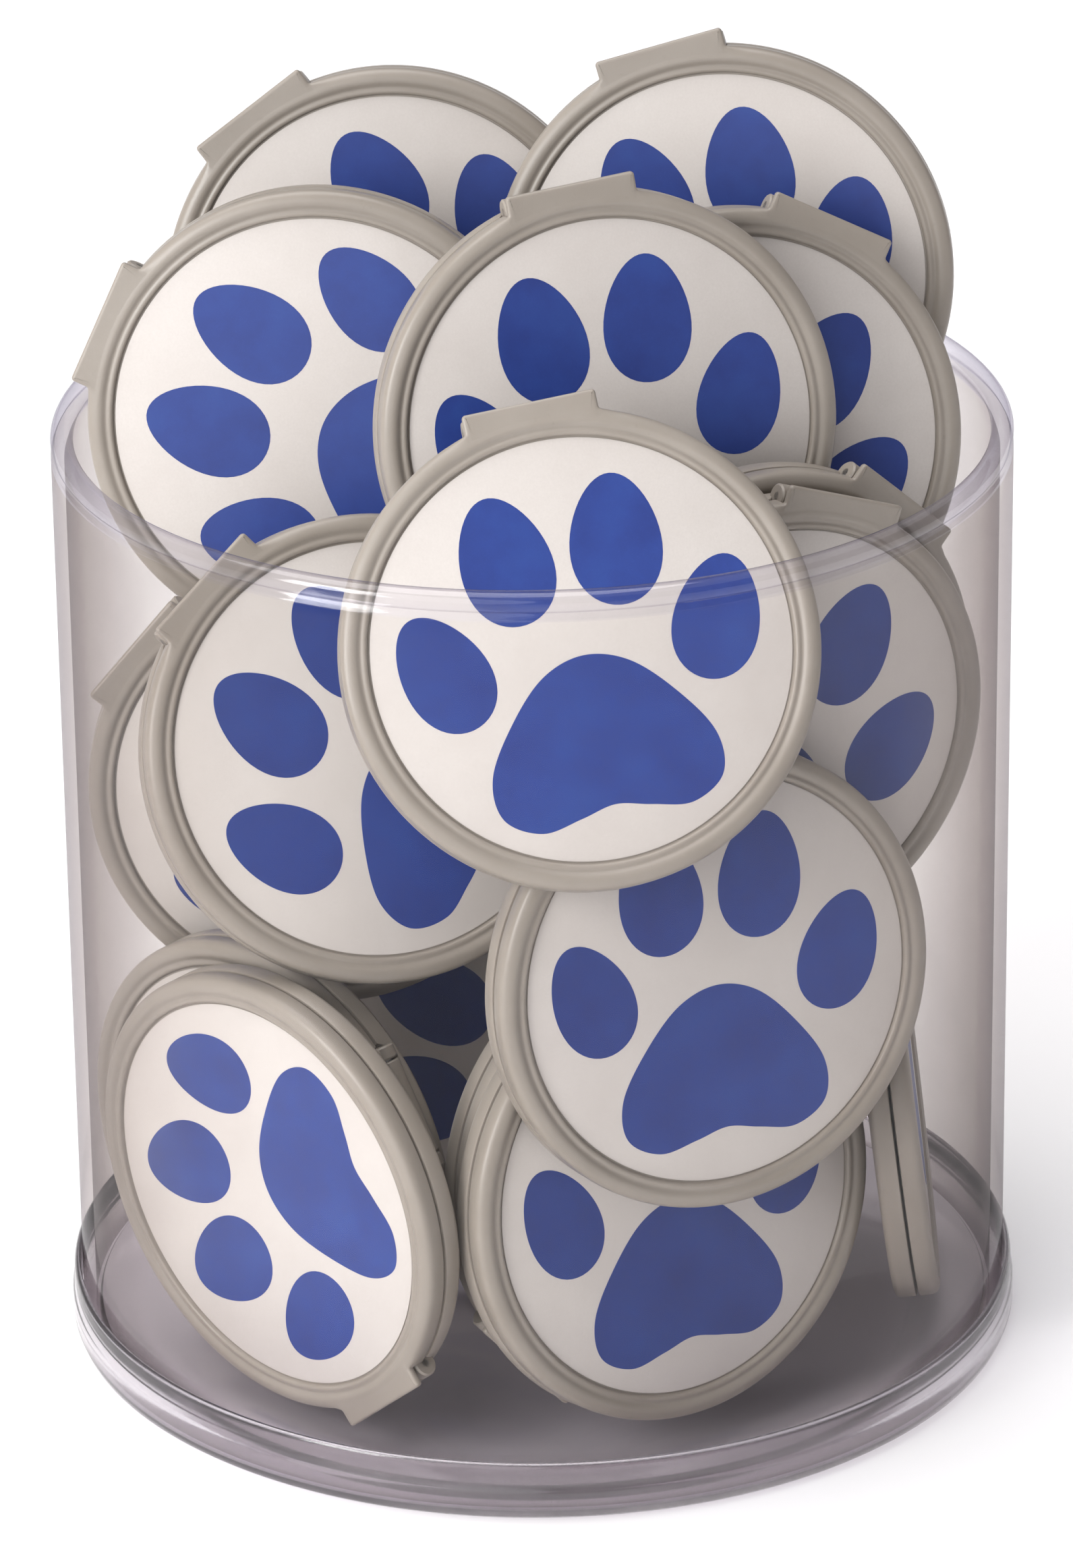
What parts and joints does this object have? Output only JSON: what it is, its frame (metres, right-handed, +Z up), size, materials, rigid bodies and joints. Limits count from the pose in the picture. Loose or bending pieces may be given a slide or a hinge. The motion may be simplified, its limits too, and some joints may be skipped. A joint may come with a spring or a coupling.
{
  "type": "compact mirror display tub",
  "caption": "Clear round counter tub, open at the top, filled with round hinged compact mirrors; the upper ones lift out and the front one opens.",
  "frame": {"origin": "centre of the tub's base, on the surface it stands on", "axes": "+Z up along the tub's axis, -Y towards the front of the display, +X to the right seen from the front"},
  "size_m": [0.1474, 0.1474, 0.1958],
  "materials": {
    "clear_plastic": "clear gloss",
    "case_plastic": "fine satin, warm light grey",
    "label_paper": "smooth printed paper",
    "mirror": "polished",
    "pin_steel": "satin"
  },
  "bodies": {
    "tub": {"tub_tube": "clear_plastic", "tub_base": "clear_plastic", "left_upper_compact": "case_plastic", "left_upper_rear_compact": "case_plastic", "right_upper_compact": "case_plastic", "right_upper_rear_compact": "case_plastic", "right_mid_compact": "case_plastic", "bottom_left_compact": "case_plastic", "bottom_left_rear_compact": "case_plastic", "bottom_centre_compact": "case_plastic", "bottom_centre_rear_compact": "case_plastic", "bottom_right_compact": "case_plastic", "floor_back_left_compact": "case_plastic", "floor_middle_compact": "case_plastic", "low_back_compact": "case_plastic", "floor_back_right_compact": "case_plastic", "upper_back_compact": "case_plastic", "upper_middle_compact": "case_plastic"},
    "left_back_case": {"left_back_lid": "case_plastic", "left_back_base": "case_plastic", "left_back_label": "label_paper", "left_back_lid_mirror": "mirror", "left_back_base_mirror": "mirror", "left_back_pin": "pin_steel"},
    "right_back_case": {"right_back_lid": "case_plastic", "right_back_base": "case_plastic", "right_back_label": "label_paper", "right_back_lid_mirror": "mirror", "right_back_base_mirror": "mirror", "right_back_pin": "pin_steel"},
    "left_middle_case": {"left_middle_lid": "case_plastic", "left_middle_base": "case_plastic", "left_middle_label": "label_paper", "left_middle_lid_mirror": "mirror", "left_middle_base_mirror": "mirror", "left_middle_pin": "pin_steel"},
    "centre_case": {"centre_lid": "case_plastic", "centre_base": "case_plastic", "centre_label": "label_paper", "centre_lid_mirror": "mirror", "centre_base_mirror": "mirror", "centre_pin": "pin_steel"},
    "right_middle_case": {"right_middle_lid": "case_plastic", "right_middle_base": "case_plastic", "right_middle_label": "label_paper", "right_middle_lid_mirror": "mirror", "right_middle_base_mirror": "mirror", "right_middle_pin": "pin_steel"},
    "front_case": {"front_base": "case_plastic", "front_base_mirror": "mirror", "front_pin": "pin_steel"},
    "front_cover": {"front_lid": "case_plastic", "front_label": "label_paper", "front_lid_mirror": "mirror"}
  },
  "joints": [
    {"name": "left_back_lift", "type": "slide", "parent": "tub", "child": "left_back_case", "axis": [0, 0.225, 0.9744], "range_m": [0, 0.04]},
    {"name": "right_back_lift", "type": "slide", "parent": "tub", "child": "right_back_case", "axis": [0.0118, 0.2246, 0.9744], "range_m": [0, 0.08]},
    {"name": "left_middle_lift", "type": "slide", "parent": "tub", "child": "left_middle_case", "axis": [0.0121, 0.1732, 0.9848], "range_m": [0, 0.09]},
    {"name": "centre_lift", "type": "slide", "parent": "tub", "child": "centre_case", "axis": [-0.0582, 0.2173, 0.9744], "range_m": [0, 0.06]},
    {"name": "right_middle_lift", "type": "slide", "parent": "tub", "child": "right_middle_case", "axis": [-0.0626, 0.2337, 0.9703], "range_m": [0, 0.045]},
    {"name": "front_lift", "type": "slide", "parent": "tub", "child": "front_case", "axis": [-0.0458, 0.436, 0.8988], "range_m": [0, 0.165]},
    {"name": "front_lid_hinge", "type": "hinge", "parent": "front_case", "child": "front_cover", "pos_m": [-0.00033, -0.03392, 0.15968], "axis": [-0.9751, -0.1714, -0.1406], "range_deg": [0, 66]}
  ],
  "couplings": [
    {"joint": "front_lid_hinge", "follows": "front_lift", "rad_per_m": 6.9812}
  ]
}
